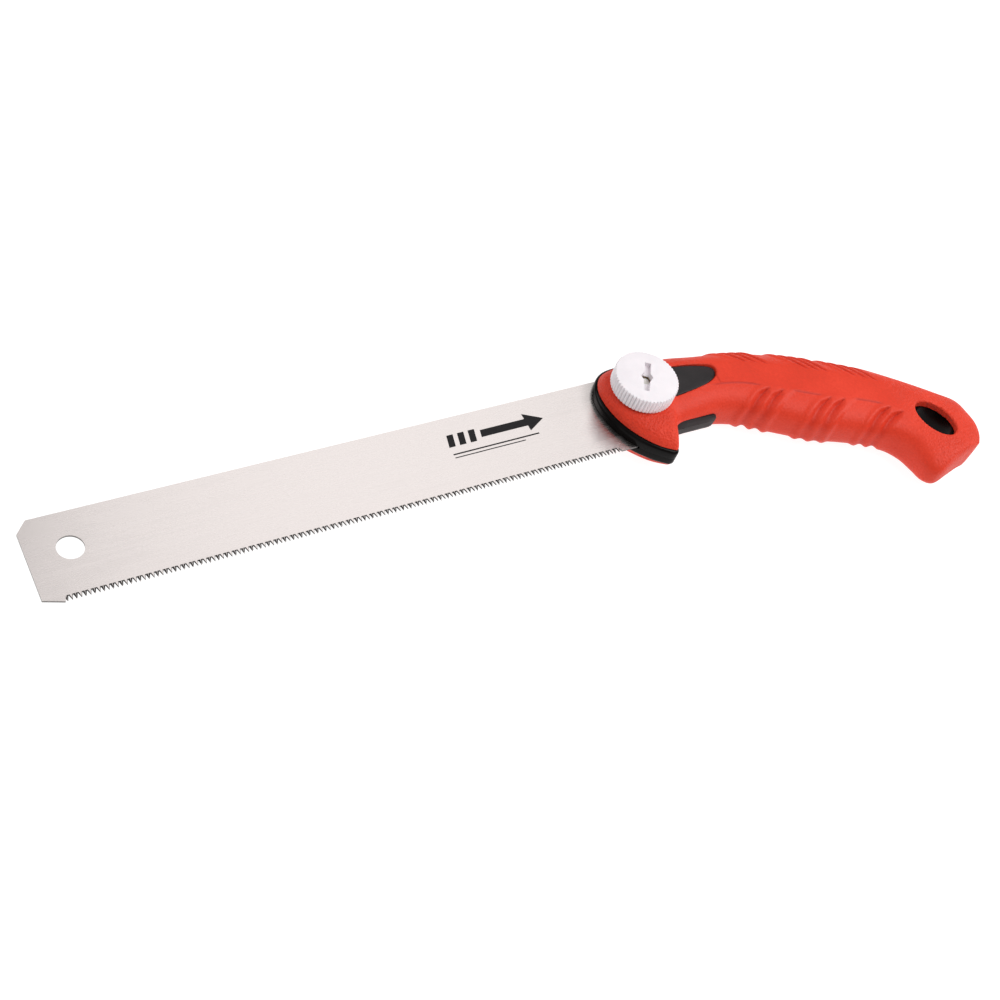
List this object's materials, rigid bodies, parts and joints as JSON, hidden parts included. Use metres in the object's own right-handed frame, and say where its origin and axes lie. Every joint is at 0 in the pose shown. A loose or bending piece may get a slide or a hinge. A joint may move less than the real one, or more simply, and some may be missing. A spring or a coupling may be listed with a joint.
{
  "type": "pull saw",
  "caption": "Flat pull saw: long parallel blade with fine teeth, clamped in a slotted, rubber-covered pistol handle by a knurled knob; the blade slides out for changing.",
  "frame": {"origin": "on the clamp screw's axis, where it meets the plane that the saw lies on (the flat face of the screw's head)", "axes": "+Z along the clamp screw, out of the knob; -X along the blade to its tip, +X to the handle's butt; -Y towards the teeth"},
  "size_m": [0.4508, 0.1016, 0.0323],
  "materials": {
    "grip_red": "soft moulded, finely pebbled on the nose and heel, satin",
    "core_black": "satin moulded",
    "knob_white": "satin moulded, knurled rim",
    "blade_steel": "fine lengthwise grinding lines",
    "zinc_steel": "bright zinc plating",
    "brass": "turned, bright"
  },
  "bodies": {
    "handle": {"core_near_half": "core_black", "core_far_half": "core_black", "grip_sleeve": "grip_red", "core_screw_1": "zinc_steel", "core_screw_2": "zinc_steel", "core_screw_3": "zinc_steel", "core_screw_4": "zinc_steel", "core_screw_5": "zinc_steel", "clamp_bolt": "zinc_steel", "pressure_plate_near": "zinc_steel", "pressure_plate_far": "zinc_steel", "guide_pin_upper": "zinc_steel", "guide_pin_lower": "zinc_steel", "spring_washer": "zinc_steel"},
    "blade": {"blade": "blade_steel"},
    "knob_washer": {"thrust_washer": "zinc_steel"},
    "knob": {"knob_body": "knob_white", "knob_nut": "brass"}
  },
  "joints": [
    {"name": "knob_lift", "type": "slide", "parent": "handle", "child": "knob_washer", "axis": [0, 0, 1], "range_m": [0, 0.0025]},
    {"name": "knob_turn", "type": "hinge", "parent": "knob_washer", "child": "knob", "pos_m": [0, 0, 0.028], "axis": [0, 0, 1], "range_deg": [0, 901]},
    {"name": "blade_slide", "type": "slide", "parent": "handle", "child": "blade", "axis": [-1, 0, 0], "range_m": [0, 0.04]}
  ],
  "couplings": [
    {"joint": "knob_turn", "follows": "knob_lift", "rad_per_m": 6283.2}
  ]
}
